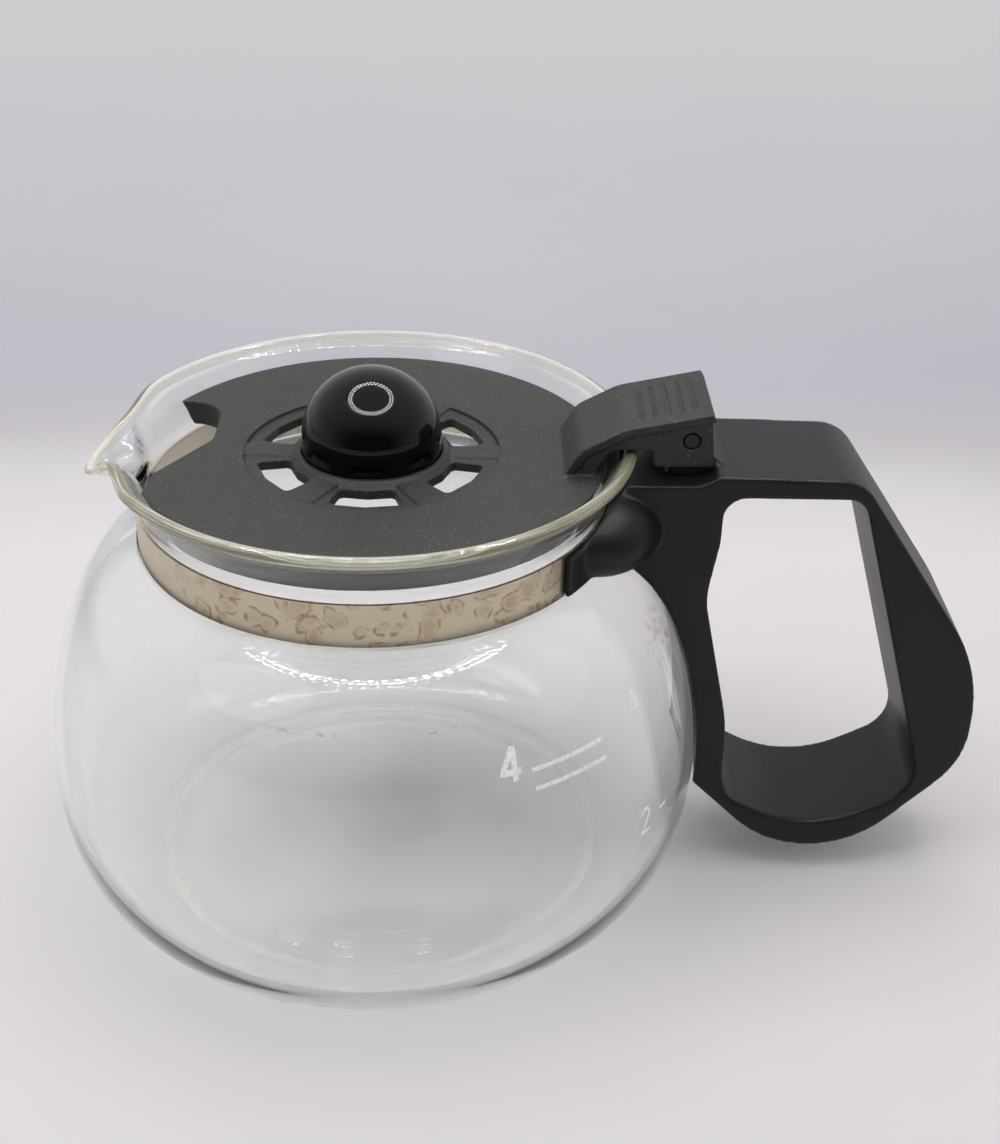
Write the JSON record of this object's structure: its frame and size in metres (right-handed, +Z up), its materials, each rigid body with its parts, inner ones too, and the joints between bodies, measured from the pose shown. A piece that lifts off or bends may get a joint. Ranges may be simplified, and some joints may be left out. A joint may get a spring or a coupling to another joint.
{
  "type": "coffee carafe",
  "caption": "Glass drip-coffee carafe with a steel neck band, a looped side handle and a hinged lid with a thumb lever, drip slots and a domed valve cap.",
  "frame": {"origin": "centre of the foot ring, on the table", "axes": "+Z up, +X towards the handle, the pouring lip towards -X"},
  "size_m": [0.172, 0.122, 0.0999],
  "materials": {
    "glass": "clear polished borosilicate",
    "band_steel": "satin, slightly mottled",
    "hardware_steel": "zinc plated",
    "handle_plastic": "satin moulded",
    "pin_plastic": "satin",
    "lid_plastic": "matt moulded, dusty",
    "dome_plastic": "polished"
  },
  "bodies": {
    "carafe": {"glass_vessel": "glass", "neck_band": "band_steel", "nut_plate": "hardware_steel", "clamp_screw": "hardware_steel", "handle": "handle_plastic", "hinge_pin": "pin_plastic"},
    "lid": {"lid": "lid_plastic", "valve_dome": "dome_plastic"}
  },
  "joints": [
    {"name": "lid_hinge", "type": "hinge", "parent": "carafe", "child": "lid", "pos_m": [0.055, 0, 0.0915], "axis": [0, 1, 0], "range_deg": [0, 82]}
  ]
}
